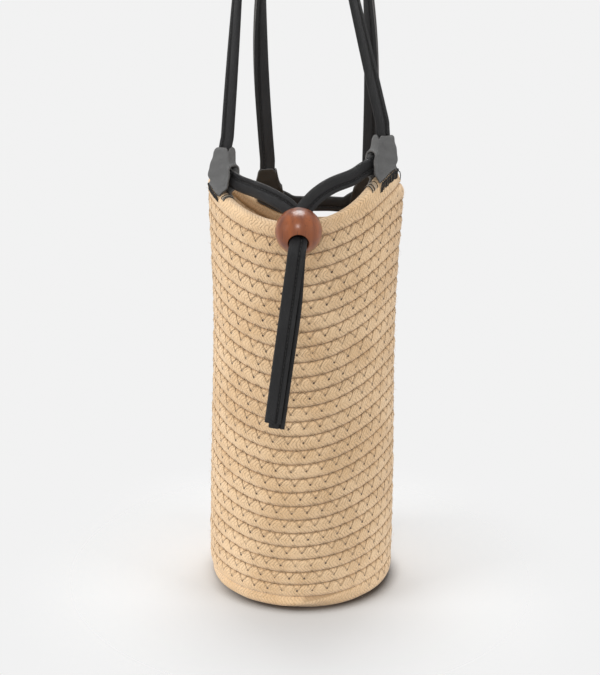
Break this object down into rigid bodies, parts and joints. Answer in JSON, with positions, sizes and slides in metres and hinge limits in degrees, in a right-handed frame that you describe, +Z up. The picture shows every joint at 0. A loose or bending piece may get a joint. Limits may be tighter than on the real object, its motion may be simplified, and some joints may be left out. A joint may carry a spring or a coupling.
{
  "type": "rope beach bag",
  "caption": "Tall round bucket bag of coiled braided rope with two strap handles through rim tabs and a bead drawstring at the front.",
  "frame": {"origin": "middle of the flat underside of the rope base, on the floor", "axes": "+X to the right seen from the front, the bead and drawstring ends are on the -Y side, +Z up"},
  "size_m": [0.128, 0.1564, 0.5559],
  "materials": {
    "cotton_rope": "matte braided cotton",
    "black_leather": "satin, stitched edges",
    "brown_wood": "glossy varnish"
  },
  "bodies": {
    "bag": {"rope_wall": "cotton_rope", "rope_base": "cotton_rope", "tab_front_left": "black_leather", "tab_front_right": "black_leather", "tab_back_left": "black_leather", "tab_back_right": "black_leather", "front_strap_left_run": "black_leather", "front_strap_right_run": "black_leather", "back_strap_run": "black_leather"},
    "front_handle": {"front_handle": "black_leather"},
    "back_handle": {"back_handle": "black_leather"},
    "drawstring": {"front_tail": "black_leather", "rear_tail": "black_leather"},
    "bead": {"wood_bead": "brown_wood"}
  },
  "joints": [
    {"name": "front_handle_swing", "type": "hinge", "parent": "bag", "child": "front_handle", "pos_m": [-0.0022, -0.02452, 0.30679], "axis": [0.9838, -0.1341, 0.1192], "range_deg": [0, 90]},
    {"name": "back_handle_swing", "type": "hinge", "parent": "bag", "child": "back_handle", "pos_m": [0.00802, 0.02323, 0.28218], "axis": [-0.9989, 0.0441, -0.0127], "range_deg": [0, 90]},
    {"name": "drawstring_swing", "type": "hinge", "parent": "bag", "child": "drawstring", "pos_m": [-0.00168, -0.0705, 0.27778], "axis": [-1, 0, 0], "range_deg": [0, 80]},
    {"name": "bead_slide", "type": "slide", "parent": "drawstring", "child": "bead", "axis": [-0.1219, 0, -0.9925], "range_m": [0, 0.09]}
  ]
}
